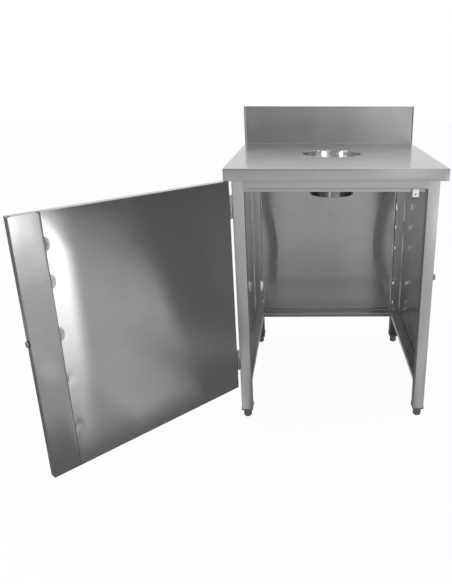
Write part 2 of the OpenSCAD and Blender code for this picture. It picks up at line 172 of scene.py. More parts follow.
def softened(node, finish, body, width, segments=2):
    """A copy of a simple frame node with its doubles merged and its edges rounded by width in mm."""
    sharp = 35
    mesh = bpy.data.meshes.new(node + "_dressed")
    shaped = bmesh.new()
    shaped.from_mesh(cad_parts[node].data)
    bmesh.ops.remove_doubles(shaped, verts=shaped.verts, dist=2e-6)
    bmesh.ops.dissolve_limit(shaped, angle_limit=math.radians(1), verts=shaped.verts, edges=shaped.edges)
    bmesh.ops.recalc_face_normals(shaped, faces=shaped.faces)
    shaped.to_mesh(mesh)
    shaped.free()
    mesh.materials.clear()
    mesh.materials.append(finish["material"])
    smoothed(mesh, sharp)
    made = placed(node + "_dressed", mesh)
    edge = made.modifiers.new("rounded edges", "BEVEL")
    edge.width = width * MM
    edge.segments = segments
    edge.limit_method = "ANGLE"
    edge.angle_limit = math.radians(sharp)
    edge.harden_normals = True
    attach(made, body)
    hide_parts(node)


def rectangle_ring(x0, x1, y0, y1, inset, along):
    """Points round a rectangle drawn in by inset, anticlockwise from the low corner, its corners rounded by
    CORNER less the inset. along holds where the points of a side lie, from 0 to 1; the far sides run it
    backwards."""
    a, b, c, d = x0 + inset, x1 - inset, y0 + inset, y1 - inset
    r = max(CORNER - inset, 0.05)
    turn = quarter(0, 90, 5)[1:-1]
    sin, cos = r * np.sin(turn), r * np.cos(turn)
    across = a + r + (b - a - 2 * r) * along
    up = c + r + (d - c - 2 * r) * along
    stretches = [
        (across, np.full_like(across, c)),
        (b - r + sin, c + r - cos),
        (np.full_like(up, b), up),
        (b - r + cos, d - r + sin),
        (across[::-1], np.full_like(across, d)),
        (a + r - sin, d - r + cos),
        (np.full_like(up, a), up[::-1]),
        (a + r - cos, c + r - sin),
    ]
    return np.concatenate([np.stack(stretch, 1) for stretch in stretches])


def at_height(ring, height):
    """Points (x, y) at that height."""
    return np.c_[ring, np.full(len(ring), height)]


def from_door(points):
    """Door points drawn closed around the hinge axis, turned to where the open door stands: x' = x cos a + y
    sin a and y' = y cos a - x sin a, moved to the hinge."""
    p = np.asarray(points, float).reshape(-1, 3)
    c, s = math.cos(DOOR_ANGLE), math.sin(DOOR_ANGLE)
    return np.stack([p[:, 0] * c + p[:, 1] * s + HINGE[0], p[:, 1] * c - p[:, 0] * s + HINGE[1], p[:, 2]], 1)


def turned(profile, count, centre=(0, 0, 0)):
    """A profile of (radius, height) turned once round the upright axis: x = r cos a, y = r sin a, z = h."""
    r, h = np.asarray(profile, float).T
    a = np.arange(count) * 2 * math.pi / count
    points = np.stack([r[:, None] * np.cos(a), r[:, None] * np.sin(a), np.repeat(h[:, None], count, 1)], -1)
    return points.reshape(-1, 3) + np.asarray(centre, float), sheet_faces(len(r), count, True)


def square_tube(low, high, axis, radius):
    """A tube with rounded corners between two opposite corners: a rounded square carried along axis, ends
    closed."""
    along = "xyz".index(axis)
    a, b = [(1, 2), (2, 0), (0, 1)][along]
    u0, u1, v0, v1 = low[a] + radius, high[a] - radius, low[b] + radius, high[b] - radius
    arcs = []
    for u, v, start in ((u1, v1, 0), (u0, v1, 90), (u0, v0, 180), (u1, v0, 270)):
        turn = quarter(start, start + 90, 6)
        arcs.append(np.stack([u + radius * np.cos(turn), v + radius * np.sin(turn)], 1))
    ring = np.concatenate(arcs)
    steps = 24
    points = np.zeros((steps, len(ring), 3))
    points[:, :, a] = ring[:, 0]
    points[:, :, b] = ring[:, 1]
    points[:, :, along] = np.linspace(low[along], high[along], steps)[:, None]
    faces = sheet_faces(steps, len(ring), True)
    ends = [np.arange(len(ring))[::-1], np.arange(len(ring)) + (steps - 1) * len(ring)]
    return points.reshape(-1, 3), [*faces.tolist(), *[e.tolist() for e in ends]]


def weld_bead(path, radius, flat=0.55, seed=0):
    """A weld seam: a low round bead carried along a path, its radius rippled by a sine every 1.6 mm and a
    slower one, and fading at its ends. flat is its height as a share of its half width."""
    path = np.asarray(path, float)
    length = np.r_[0, np.cumsum(np.linalg.norm(np.diff(path, axis=0), axis=1))]
    steps = max(8, int(length[-1] / 0.8))
    s = np.linspace(0, length[-1], steps)
    line = np.stack([np.interp(s, length, path[:, i]) for i in range(3)], 1)
    tangent = np.gradient(line, axis=0)
    tangent /= np.linalg.norm(tangent, axis=1)[:, None]
    helper = np.where(np.abs(tangent[:, 2:3]) > 0.9, [[1.0, 0, 0]], [[0, 0, 1.0]])
    side = np.cross(tangent, helper)
    side /= np.linalg.norm(side, axis=1)[:, None]
    up = np.cross(side, tangent)
    ends = np.clip(np.minimum(s, length[-1] - s) / (1.5 * radius), 0.05, 1) ** 0.5
    ripple = 1 + 0.14 * np.sin(s * 2 * math.pi / 1.6 + seed) + 0.1 * np.sin(s * 0.9 + 2 * seed)
    size = (radius * ends * ripple)[:, None, None]
    count = 10
    a = (np.arange(count) * 2 * math.pi / count)[None, :, None]
    points = line[:, None] + size * (np.cos(a) * side[:, None] + flat * np.sin(a) * up[:, None])
    points = np.concatenate([line[:1][None].repeat(count, 1), points, line[-1:][None].repeat(count, 1)])
    return points.reshape(-1, 3), sheet_faces(steps + 2, count, True)


def gathered(parts):
    """Several (points, faces) as one."""
    points, faces, base = [], [], 0
    for p, f in parts:
        points.append(p)
        faces += [[int(i) + base for i in q] for q in f]
        base += len(p)
    return np.concatenate(points), faces


# Shader nodes


def added(tree, kind, inputs, **settings):
    """A new shader node of that kind with those settings. inputs gives each socket, by its name or number, a
    value or another node's output."""
    made = tree.nodes.new("ShaderNode" + kind)
    for name, setting in settings.items():
        setattr(made, name, setting)
    for socket, value in inputs.items():
        if isinstance(value, bpy.types.NodeSocket):
            tree.links.new(value, made.inputs[socket])
        else:
            made.inputs[socket].default_value = value
    return made


def bare_tree(owner):
    """The node tree of a material or a world, emptied."""
    owner.use_nodes = True
    owner.node_tree.nodes.clear()
    return owner.node_tree


def object_place(tree):
    """Object coordinates, in metres."""
    return added(tree, "TexCoord", {}).outputs["Object"]


def ranged(tree, value, low, high, start=0.0, stop=1.0, way="LINEAR"):
    """A value mapped from start..stop to low..high, straight or smoothly."""
    inputs = {"Value": value, "From Min": start, "From Max": stop, "To Min": low, "To Max": high}
    return added(tree, "MapRange", inputs, interpolation_type=way).outputs["Result"]


def combined(tree, operation, a, b):
    """Two values through one Math node."""
    return added(tree, "Math", {0: a, 1: b}, operation=operation).outputs[0]


def blended(tree, share, first, second):
    """A colour that goes from the first to the second by share."""
    return added(tree, "Mix", {0: share, 6: first, 7: second}, data_type="RGBA").outputs[2]


# Finishes


def finish(slot, name, colour, roughness, metallic=0.0):
    """A material with its own shader, and the record's slot it belongs to."""
    material = bpy.data.materials.new(name)
    material.use_nodes = True
    tree = material.node_tree
    shader = tree.nodes["Principled BSDF"]
    shader.inputs["Base Color"].default_value = (*colour, 1)
    shader.inputs["Roughness"].default_value = roughness
    shader.inputs["Metallic"].default_value = metallic
    return {"material": material, "slot": slot, "tree": tree, "shader": shader}


def noise(made, sizes, detail, turn=0.0):
    """Noise on Object coordinates: sizes holds its grain in mm along the piece's three axes, turn its turn
    about Z."""
    tree = made["tree"]
    place = object_place(tree)
    scale = [size * MM for size in sizes]
    inputs = {"Vector": place, "Rotation": (0, 0, turn), "Scale": scale}
    mapping = added(tree, "Mapping", inputs, vector_type="TEXTURE")
    inputs = {"Vector": mapping.outputs["Vector"], "Scale": 1.0, "Detail": detail}
    return added(tree, "TexNoise", inputs).outputs["Fac"]


def tinted(made, value, dark, light):
    """Base colour running from dark to light by value."""
    colour = blended(made["tree"], value, (*dark, 1), (*light, 1))
    made["tree"].links.new(colour, made["shader"].inputs["Base Color"])


def bumped(made, heights):
    """Bumps on top of each other, each (height value, strength, distance in mm)."""
    tree, last = made["tree"], None
    for value, strength, distance in heights:
        inputs = {"Height": value, "Strength": strength, "Distance": distance * MM}
        if last:
            inputs["Normal"] = last
        last = added(tree, "Bump", inputs).outputs["Normal"]
    tree.links.new(last, made["shader"].inputs["Normal"])


def speckled(made, sizes, detail, dark, light, strength, height, start=0.0, stop=1.0):
    """Fine speckles by one noise: the colour runs from dark to light over its start..stop, and bumps of that
    strength stand height mm high."""
    spots = noise(made, sizes, detail)
    tinted(made, ranged(made["tree"], spots, 0, 1, start, stop), dark, light)
    bumped(made, [(spots, strength, height)])


def dulled_with_painted_shade(made, centres, reach, squash, tone, roughness):
    """Dull marks round the spot welds' dents, with painted shade in them. Round each centre in mm, out to
    reach and 1 / squash times as far up and down, the roughness rises to that roughness, and the colour goes
    over to tone: a painted shade of the dents, darker than the steel."""
    tree, shader = made["tree"], made["shader"]
    place = object_place(tree)
    squashed = added(tree, "VectorMath", {0: place, 1: (1, 1, squash)}, operation="MULTIPLY").outputs[0]
    marks = 0.0
    for x, y, z in centres:
        inputs = {0: squashed, 1: (x * MM, y * MM, z * MM * squash)}
        apart = added(tree, "VectorMath", inputs, operation="DISTANCE").outputs["Value"]
        mark = ranged(tree, apart, 1, 0, 0.75 * reach * MM, reach * MM)
        marks = combined(tree, "MAXIMUM", marks, mark)
    clean_rough = shader.inputs["Roughness"].links[0].from_socket
    clean_colour = shader.inputs["Base Color"].links[0].from_socket
    rough = combined(tree, "MAXIMUM", clean_rough, combined(tree, "MULTIPLY", marks, roughness))
    tree.links.new(rough, shader.inputs["Roughness"])
    tree.links.new(blended(tree, marks, clean_colour, (tone, tone, tone, 1)), shader.inputs["Base Color"])


def satin_steel(slot, name, tone, roughness, grain, wave, streak, spread, turn=0.0, axis=None):
    """Stainless steel ground to a satin grain, which runs along the object's axis of that number, turned
    about Z by turn, or round the upright axis at (x, y) in mm. Fine streaks lie along it in colour,
    roughness and bump, hand marks dull it in patches, and the sheet waves slowly by wave mm. Its reflections
    spread across the grain."""
    made = finish(slot, name, (tone, tone * 1.003, tone * 1.01), roughness, 1.0)
    tree, shader = made["tree"], made["shader"]
    lines = noise(made, [70 if i == grain else 0.7 for i in range(3)], 4, turn)
    bands = noise(made, [330 if i == grain else 11 for i in range(3)], 3, turn)
    marks = noise(made, (110, 110, 110), 5)
    slow = noise(made, (310, 310, 310), 1)
    shade = combined(tree, "MULTIPLY", lines, 0.4)
    shade = combined(tree, "ADD", shade, combined(tree, "MULTIPLY", bands, 0.6))
    tinted(made, ranged(tree, shade, 0, 1, 0.3, 0.7), (tone - streak,) * 3, (tone + streak,) * 3)
    fine = ranged(tree, lines, roughness - 0.02, roughness + 0.02, 0.3, 0.7)
    rough = combined(tree, "ADD", fine, ranged(tree, marks, 0, 0.04, 0.5, 0.75))
    tree.links.new(rough, shader.inputs["Roughness"])
    bumped(made, [(slow, 1.0, wave), (bands, 0.05, 0.03), (lines, 0.04, 0.006)])
    way = [(math.cos(turn), math.sin(turn), 0), (-math.sin(turn), math.cos(turn), 0), (0, 0, 1)][grain]
    if axis is not None:
        place = object_place(tree)
        inputs = {0: place, 1: (axis[0] * MM, axis[1] * MM, 0)}
        arm = added(tree, "VectorMath", inputs, operation="SUBTRACT").outputs[0]
        way = added(tree, "VectorMath", {0: (0, 0, 1), 1: arm}, operation="CROSS_PRODUCT").outputs[0]
    settings = {"vector_type": "VECTOR", "convert_from": "OBJECT", "convert_to": "WORLD"}
    tangent = added(tree, "VectorTransform", {0: way}, **settings).outputs[0]
    tree.links.new(tangent, shader.inputs["Tangent"])
    shader.inputs["Anisotropic"].default_value = spread
    shader.inputs["Anisotropic Rotation"].default_value = 0.25
    return made


# Each with its tone, roughness, grain's axis, waviness in mm, streaks and spread
SHEET, TUBE = "stainless_sheet", "stainless_tube"
sheet_steel = satin_steel(SHEET, "worktop_steel", 0.585, 0.22, 0, 0.03, 0.012, 0.9)
upstand_steel = satin_steel(SHEET, "upstand_steel", 0.58, 0.22, 0, 0.06, 0.012, 0.9)
panel_steel = satin_steel(SHEET, "panel_steel", 0.53, 0.25, 0, 0.15, 0.012, 0.85)
side_panel_steel = satin_steel(SHEET, "side_panel_steel", 0.55, 0.16, 1, 0.1, 0.012, 0.85)
door_steel = satin_steel(SHEET, "door_steel", 0.55, 0.2, 0, 0.1, 0.012, 0.95, -DOOR_ANGLE)
liner_steel = satin_steel(SHEET, "liner_steel", 0.5, 0.16, 0, 0.1, 0.012, 0.95, -DOOR_ANGLE)
band_steel = satin_steel(SHEET, "band_steel", 0.55, 0.12, 0, 0.06, 0.012, 0.95, -DOOR_ANGLE)
tube_steel = satin_steel(TUBE, "leg_steel", 0.6, 0.3, 2, 0.03, 0.012, 0.6)
rail_steel = satin_steel(TUBE, "rail_steel", 0.6, 0.3, 0, 0.03, 0.012, 0.6)
rear_steel = satin_steel(TUBE, "rear_leg_steel", 0.53, 0.3, 2, 0.06, 0.05, 0.6)
side_rail_steel = satin_steel(TUBE, "side_rail_steel", 0.6, 0.3, 1, 0.03, 0.012, 0.6)
chute_steel = satin_steel(SHEET, "chute_inner_steel", 0.68, 0.15, 2, 0.02, 0.012, 0.95, axis=CHUTE_AXIS)
# The chute's outside is a duller satin, and its tone of 0.34, half the inside's, is painted shade under the
# worktop
chute_outer_shaded_steel = satin_steel(SHEET, "chute_outer_shaded_steel", 0.34, 0.25, 2, 0.02, 0.012, 0.7, axis=CHUTE_AXIS)
fitting_steel = satin_steel("steel_fittings", "turned_fitting_steel", 0.5, 0.3, 2, 0.02, 0.03, 0.0)

weld_steel = finish(TUBE, "weld_steel", (0.42, 0.41, 0.4), 0.36, 1.0)
speckled(weld_steel, (4, 4, 4), 4, (0.26, 0.25, 0.25), (0.6, 0.6, 0.6), 0.6, 0.25, 0.35, 0.65)

ground_steel = finish(TUBE, "ground_weld_steel", (0.7, 0.7, 0.7), 0.4, 1.0)
speckled(ground_steel, (5, 5, 9), 4, (0.55, 0.55, 0.55), (0.82, 0.82, 0.82), 0.4, 0.15, 0.35, 0.65)

black_plastic = finish("black_plastic", "black_moulded_plastic", (0.13, 0.13, 0.132), 0.36)
speckled(black_plastic, (2.4, 2.4, 2.4), 3, (0.1, 0.1, 0.102), (0.17, 0.17, 0.172), 0.3, 0.06)

rubber = finish("rubber_washer", "black_rubber", (0.02, 0.02, 0.02), 0.75)
speckled(rubber, (3.3, 3.3, 3.3), 3, (0.012, 0.012, 0.012), (0.035, 0.035, 0.035), 0.4, 0.1)

white_plastic = finish("white_plastic", "white_catch_plastic", (0.95, 0.95, 0.94), 0.35)
speckled(white_plastic, (5.5, 5.5, 5.5), 3, (0.93, 0.93, 0.92), (0.97, 0.97, 0.96), 0.15, 0.05)

brass = finish("brass_washer", "brass_washer", (0.7, 0.52, 0.24), 0.3, 1.0)
speckled(brass, (3.3, 3.3, 3.3), 3, (0.6, 0.43, 0.18), (0.78, 0.6, 0.3), 0.2, 0.05)

board = finish("worktop_board", "worktop_chipboard", (0.5, 0.38, 0.24), 0.75)
board_place = object_place(board["tree"])
chips = added(board["tree"], "TexVoronoi", {"Vector": board_place, "Scale": 260.0}).outputs["Distance"]
tinted(board, chips, (0.42, 0.3, 0.17), (0.66, 0.52, 0.34))
bumped(board, [(chips, 0.4, 0.3)])

# Worktop, upstand and chute


def worktop_sheet():
    """The worktop sheet with its bends. Rings run from the waste hole out to the edge, each point a share t
    of the way from the hole's circle to the rectangle's outline, then over the bend, down the apron and in
    under it. The apron faces of the wall side are left out, because the upstand and the rear channel close
    that side."""
    along = np.linspace(0, 1, 48)

    def outline(inset, height):
        """The worktop's outline, drawn in by inset."""
        return at_height(rectangle_ring(-HALF_TOP, HALF_TOP, -HALF_TOP, HALF_TOP, inset, along), height)

    edge = outline(BEND, WORKTOP_TOP)
    angle = np.arctan2(edge[:, 1] - CHUTE_AXIS[1], edge[:, 0] - CHUTE_AXIS[0])

    def hole(radius, height):
        """A circle round the waste hole, with its points straight inward of the outline's."""
        return at_height(CHUTE_AXIS + radius * np.stack([np.cos(angle), np.sin(angle)], 1), height)

    circle = hole(CHUTE_RADIUS, WORKTOP_TOP)
    rings = [hole(CHUTE_RADIUS - 0.7, WORKTOP_TOP - 0.8), hole(CHUTE_RADIUS - 0.4, WORKTOP_TOP - 0.2)]
    for t in (0, 0.012, 0.04, 0.09, 0.16, 0.26, 0.38, 0.5, 0.62, 0.74, 0.85, 0.94, 1):
        rings.append(circle * (1 - t) + edge * t)
    deck = len(rings)
    for a in quarter(0, 90, 5)[1:]:
        rings.append(outline(BEND * (1 - math.sin(a)), WORKTOP_TOP - BEND * (1 - math.cos(a))))
    for rise in (27, 14, 1):
        rings.append(outline(0, APRON_FOOT + rise))
    for a in quarter(0, 90, 4)[1:]:
        rings.append(outline(BEND * (1 - math.cos(a)), APRON_FOOT + BEND * (1 - math.sin(a))))
    rings.append(outline(12, APRON_FOOT))
    rings = np.stack(rings)
    count = len(edge)
    faces = sheet_faces(len(rings), count, True)
    middle = rings.reshape(-1, 3)[faces].mean(1)
    wall_side = (faces[:, 0] // count >= deck - 1) & (middle[:, 1] > UPSTAND_FRONT + 1)
    return rings.reshape(-1, 3), faces[~wall_side][:, ::-1]


piece("worktop_sheet", worktop_sheet(), sheet_steel, "cabinet", ["worktop_shell"], thickness=1.1)


def upstand_sheet():
    """The upstand's fold carried along the worktop: up from a small bend at the worktop, over the top, down
    behind."""
    a = quarter(0, 90, 5)
    foot = 0.8
    base = WORKTOP_TOP + 0.05 + foot
    profile = [(UPSTAND_FRONT - foot * (1 - math.sin(x)), base - foot * math.cos(x)) for x in a]
    profile += [(UPSTAND_FRONT, WORKTOP_TOP + rise) for rise in (3, 25, 60, 100, 130)]
    head = UPSTAND_TOP - BEND
    profile += [(UPSTAND_FRONT + BEND * (1 - math.cos(x)), head + BEND * math.sin(x)) for x in a]
    profile += [(HALF_TOP - BEND * (1 - math.sin(x)), head + BEND * math.cos(x)) for x in a]
    profile += [(HALF_TOP, UPSTAND_TOP - 20)]
    profile = np.array(profile)
    x = np.linspace(-CAP_INNER, CAP_INNER, 80)
    points = np.zeros((len(profile), len(x), 3))
    points[:, :, 0] = x
    points[:, :, 1] = profile[:, :1]
    points[:, :, 2] = profile[:, 1:]
    return points.reshape(-1, 3), sheet_faces(len(profile), len(x))


piece("upstand_sheet", upstand_sheet(), upstand_steel, "cabinet", thickness=1.1)


def upstand_caps():
    """The upstand's two end caps: its outline as a thin plate, with a rounding of 0.3 mm round each outer
    face."""
    front, back, low, high = UPSTAND_FRONT, HALF_TOP, WORKTOP_TOP + 0.05, UPSTAND_TOP
    outline = []
    for y, z, inward, rise, start, r in (
        (front, low, 1, 1, 180, 0.05),
        (back, low, -1, 1, 270, 0.05),
        (back, high, -1, -1, 0, BEND),
        (front, high, 1, -1, 90, BEND),
    ):
        for a in quarter(start, start + 90, 6):
            outline.append((y + inward * r + r * math.cos(a), z + rise * r + r * math.sin(a)))
    outline = np.array(outline)
    middle = np.array([front + back, WORKTOP_TOP + high]) / 2
    half = np.array([back - front, high - WORKTOP_TOP]) / 2
    parts = []
    for side in (-1, 1):
        rings = []
        for depth, inset in ((HALF_TOP - CAP_INNER, 0), (0.6, 0), (0.3, 0), (0.1, 0.1), (0, 0.3), (0, 7.4)):
            x = np.full(len(outline), side * (HALF_TOP - depth))
            rings.append(np.c_[x, middle + (outline - middle) * (1 - inset / half)])
        parts.append((np.stack(rings).reshape(-1, 3), sheet_faces(len(rings), len(outline), True)))
    return gathered(parts)


piece("upstand_caps", upstand_caps(), upstand_steel, "cabinet", ["upstand_end_caps"], weld=True)
softened("worktop_rear_channel", sheet_steel, "cabinet", 0.4)
softened("worktop_core", board, "cabinet", 0.3)

NECK, MOUTH = CHUTE_RADIUS - 1, 79.2
NECK_FOOT = WORKTOP_TOP - 20


def chute_inside():
    """The chute's inner side turned round its own axis: a rounded lip, the straight neck and the cone."""
    lip = [(NECK + 0.3, WORKTOP_TOP - 0.6), (NECK, WORKTOP_TOP - 1.4)]
    neck = [(NECK, NECK_FOOT + 10), (NECK, NECK_FOOT + 1), (NECK - 0.4, NECK_FOOT - 1.5)]
    top, fall = NECK - 0.2, NECK_FOOT - CHUTE_FOOT - 2
    cone = [(top - (top - MOUTH) * t, NECK_FOOT - fall * t) for t in np.linspace(0.04, 1, 14)]
    rim = [(MOUTH, CHUTE_FOOT + 0.6), (MOUTH + 0.2, CHUTE_FOOT + 0.3), (MOUTH + 0.5, CHUTE_FOOT + 0.1)]
    return turned(lip + neck + cone + rim, 128, (*CHUTE_AXIS, 0))


def chute_outside():
    """The chute's outer side turned round the same axis: its folded lower rim, the cone and the neck."""
    foot, top = 81.0, CHUTE_RADIUS - 0.2
    rim = [(foot - inset, CHUTE_FOOT + rise) for inset, rise in ((1.3, 0.1), (0.6, 0.3), (0, 1.4), (0.1, 4))]
    cone = [(foot + (top - foot) * t, CHUTE_FOOT + 5 + 122 * t) for t in np.linspace(0.02, 1, 12)]
    neck = [(CHUTE_RADIUS, NECK_FOOT + 2), (CHUTE_RADIUS, WORKTOP_TOP - 0.8)]
    return turned(rim + cone + neck, 128, (*CHUTE_AXIS, 0))


chute_inner = piece("waste_chute_inside", chute_inside(), chute_steel, "cabinet", ["waste_chute"])
chute_outer = piece("waste_chute_outside", chute_outside(), chute_outer_shaded_steel, "cabinet")

# Frame tubes

tubes = {}
for steel, axis, radius, nodes in (
    (tube_steel, "z", 3.0, ("front_left_leg", "front_right_leg")),
    (rear_steel, "z", 3.0, ("rear_left_leg", "rear_right_leg")),
    (rail_steel, "x", 2.5, ("front_top_rail", "rear_top_rail", "rear_bottom_rail")),
    (side_rail_steel, "y", 2.5, ("left_top_rail", "right_top_rail", "left_bottom_rail", "right_bottom_rail")),
):
    for node in nodes:
        tube = square_tube(*box_mm(node), axis, radius)
        tubes[node] = piece(node + "_tube", tube, steel, "cabinet", [node])

# Panels


def back_sheet():
    """The back sheet, with a soft fold along each side that stands c mm in from the leg. Over the depth from
    the front leg to the sheet, a slope s moves that leg's mirror image by 2 s depth, and in a flat sheet the
    place at the distance d from the rear leg mirrors what lies spread d across. The slope is
    (near + spread d) over 2 depth close to the rear leg, (fold + spread d) over 2 depth from c - 8 on, and 0
    beyond c + 22. The sheet's place is that slope summed up over d. Low down fold goes over to near, and the
    sheet lies flat at its foot and its head."""
    x = np.linspace(-LEG_INNER, LEG_INNER, 291)
    z = np.linspace(SHEET_LOW, SHEET_HIGH, 90)
    depth = SHEET_FACE - FRONT_LEG_BACK
    spread = round(1 + depth / (SHEET_FACE - EYE[1]), 3)
    heights = (150, 250, 300, 370, 440, 484, 552, 619, 686, 740)
    left_folds = np.interp(z, heights, (46, 46, 46, 50, 54, 52, 42, 27, 6, -20))
    right_folds = np.interp(z, heights, (0, 16, 40, 62, 74, 75, 68, 55, 27, 0))
    out = np.zeros((len(z), len(x)))
    for side, folds, near, fold, soften in (
        (-1, left_folds, -70.5, -31.5, 42),
        (1, right_folds, -116.0, -77.0, 60),
    ):
        d, c = np.meshgrid(LEG_INNER - side * x, folds)
        inner = eased((d - c + soften) / (soften - 8))
        fade = eased((z - 200) / 120)[:, None]
        slope = (near + spread * d + (fold - near) * inner * fade) / (2 * depth)
        slope *= 1 - eased((d - c - 8) / 14)
        summed = np.cumsum(slope[:, ::-side], axis=1) * (x[1] - x[0])
        out += summed[:, ::-side]
    out *= (eased((z - SHEET_LOW) / 130) * eased((SHEET_HIGH - z) / 40))[:, None]
    x, z = np.meshgrid(x, z)
    return np.stack([x, SHEET_FACE - out, z], -1).reshape(-1, 3), sheet_faces(*x.shape)


piece("back_sheet", back_sheet(), panel_steel, "cabinet", ["back_panel"], thickness=1.0)


def side_sheet(side):
    """A side sheet, held at its edges and standing in by 1.44 mm from 120 mm off them. side is -1 on the
    left and 1 on the right."""
    bulge, reach = 1.44, 120
    y = np.linspace(FRONT_LEG_BACK, REAR_LEG_FRONT, 90)
    y, z = np.meshgrid(y, np.linspace(SHEET_LOW, SHEET_HIGH, 80))
    edge = np.minimum(y - FRONT_LEG_BACK, REAR_LEG_FRONT - y)
    out = bulge * eased(edge / reach) * eased(np.minimum(z - SHEET_LOW, SHEET_HIGH - z) / reach)
    points = np.stack([side * (SHEET_FACE - out), y, z], -1)
    return points.reshape(-1, 3), sheet_faces(*y.shape)[:, ::-side]


for side, node in ((-1, "left_side_panel"), (1, "right_side_panel")):
    piece(node + "_sheet", side_sheet(side), side_panel_steel, "cabinet", [node], thickness=1.0)

# Door


def door_shell():
    """The door's outer sheet: the front skin, then rings over the bend, back along the four sides and over
    the rear bend. Each ring is the door's rectangle drawn in by an inset, at its own depth, and the skin is
    dished in its middle. Two relief cuts are left out of the top side."""
    x0, x1, z0, z1 = DOOR_EDGE, DOOR_END, DOOR_LOW, DOOR_HIGH
    cuts = ((SEAM + 1, SEAM + 8), (DOOR_END - 8, DOOR_END - 1))
    cut_places = [(x - x0 - CORNER) / (x1 - x0 - 2 * CORNER) for cut in cuts for x in cut]
    along = np.unique(np.r_[np.linspace(0, 1, 40), cut_places].clip(0, 1))
    margin, dip, dish, bend, rear_bend = 8.0, 0.12, 1.1, 1.2, 0.8
    depths = [(margin, DOOR_FRONT + dip)]
    depths += [(bend * (1 - math.sin(a)), DOOR_FRONT + bend * (1 - math.cos(a))) for a in quarter(0, 90, 5)]
    depths += [(0, DOOR_FRONT + 8), (0, DOOR_BACK - 5)]
    for a in quarter(0, 90, 4):
        depths.append((rear_bend * (1 - math.cos(a)), DOOR_BACK - rear_bend * (1 - math.sin(a))))
    depths += [(1.3, DOOR_BACK), (1.5, DOOR_BACK - 0.5)]
    rings = []
    for inset, depth in depths:
        rings.append(np.insert(rectangle_ring(x0, x1, z0, z1, inset, along), 1, depth, axis=1))
    rings = np.stack(rings)
    faces = sheet_faces(len(rings), rings.shape[1], True)
    x, y, z = rings.reshape(-1, 3)[faces].mean(1).T
    cut_out = np.zeros(len(faces), bool)
    for low, high in cuts:
        cut_out |= (x > low) & (x < high) & (y > DOOR_BACK - 5) & (z > z1 - 3)
    x, z = np.meshgrid(np.linspace(x0 + margin, x1 - margin, 50), np.linspace(z0 + margin, z1 - margin, 56))
    edge = np.minimum(np.minimum(x - x0, x1 - x), np.minimum(z - z0, z1 - z)) - margin
    y = DOOR_FRONT + dip * (1 + eased(edge / 5)) + dish * eased(edge / 160)
    skin = np.stack([x, y, z], -1).reshape(-1, 3), sheet_faces(*x.shape)
    points, faces = gathered([(rings.reshape(-1, 3), faces[~cut_out]), skin])
    return from_door(points), faces


piece("door_shell", door_shell(), door_steel, "door", ["door_pan"], weld=True)


def door_band():
    """The band folded in at the free end. Its inner edge turns down by 2 mm into the seam over a radius of 1
    mm, and in between it waves by 0.2 mm."""
    a = quarter(0, 90, 5)
    x = np.r_[SEAM, SEAM, SEAM + 1 - np.cos(a[1:]), np.linspace(SEAM + 4, DOOR_END - 1.6, 14)]
    drop = np.r_[2.0, 1.0, 1 - np.sin(a[1:]), np.zeros(14)]
    u, v = np.meshgrid(x, np.linspace(DOOR_LOW + 1.3, DOOR_HIGH - 1.3, 60))
    share = np.clip((u - SEAM) / (DOOR_END - SEAM), 0, 1)
    wave = 0.2 * np.sin(math.pi * share) * (1 + 0.4 * np.sin(v / 90))
    points = np.stack([u, DOOR_BACK - drop - wave, v], -1)
    return from_door(points), sheet_faces(*u.shape)[:, ::-1]


band_piece = piece("door_band", door_band(), band_steel, "door")


def door_inner_sheet():
    """The inner sheet. From the seam it rises by H (1 - (1 - d/120)^3), d being the distance in mm, and H up
    to 4 mm a little above half height. It falls back to 0 at the hinge side and is drawn in at the spot
    welds along the seam."""
    far, near = np.linspace(DOOR_EDGE + 1.4, SEAM - 60, 90), np.linspace(SEAM - 58, SEAM - 1.2, 50)
    heights = np.linspace(DOOR_LOW + 1.4, DOOR_HIGH - 1.4, 150)
    x, z = np.meshgrid(np.r_[far, near, SEAM - 0.9, SEAM - 0.8], heights)
    level = (z - DOOR_LOW) / (DOOR_HIGH - DOOR_LOW)
    rise = 4.0 * np.sin(math.pi * level**1.3) ** 0.6
    d = np.clip((SEAM - 1 - x) / 120, 0, 1)
    out = rise * (1 - (1 - d) ** 3) * eased((x - DOOR_EDGE) / 190)
    for height, depth in zip(SPOTS, SPOT_DEPTHS):
        dip = np.exp(-(((x - SEAM + 8) / 13) ** 2) - ((z - height) / 15) ** 2)
        out -= depth * dip * eased((SEAM - 0.9 - x) / 6)
    base = np.where(x > SEAM - 1.0, DOOR_BACK - 2.4, DOOR_BACK - 1.0)
    return from_door(np.stack([x, base + out, z], -1)), sheet_faces(*x.shape)[:, ::-1]


door_inner = piece("door_inner_sheet", door_inner_sheet(), liner_steel, "door", ["door_liner"])
# Painted shade: round the three upper spot welds the liner's colour goes dark, and its roughness rises
painted_shade_spots = from_door([(SEAM - 1, DOOR_BACK - 1, z) for z in SPOTS[:3]])
dulled_with_painted_shade(liner_steel, painted_shade_spots, reach=14, squash=0.62, tone=0.24, roughness=0.3)


def spot_welds():
    """Small round weld marks along the seam, each a low dome a little taller than wide."""
    dome, faces = turned([(0.01, 0.9), (1.2, 0.8), (2.4, 0.45), (3.2, 0.05)], 20)
    x, y = dome[:, 0] * 0.9 + SEAM - 0.2, dome[:, 2] + DOOR_BACK - 0.75
    points, faces = gathered([(np.stack([x, y, dome[:, 1] * 1.25 + z], 1), faces) for z in SPOTS])
    return from_door(points), faces


piece("door_seam_welds", spot_welds(), weld_steel, "door", weld=True)

# Hinges, studs, catch, feet

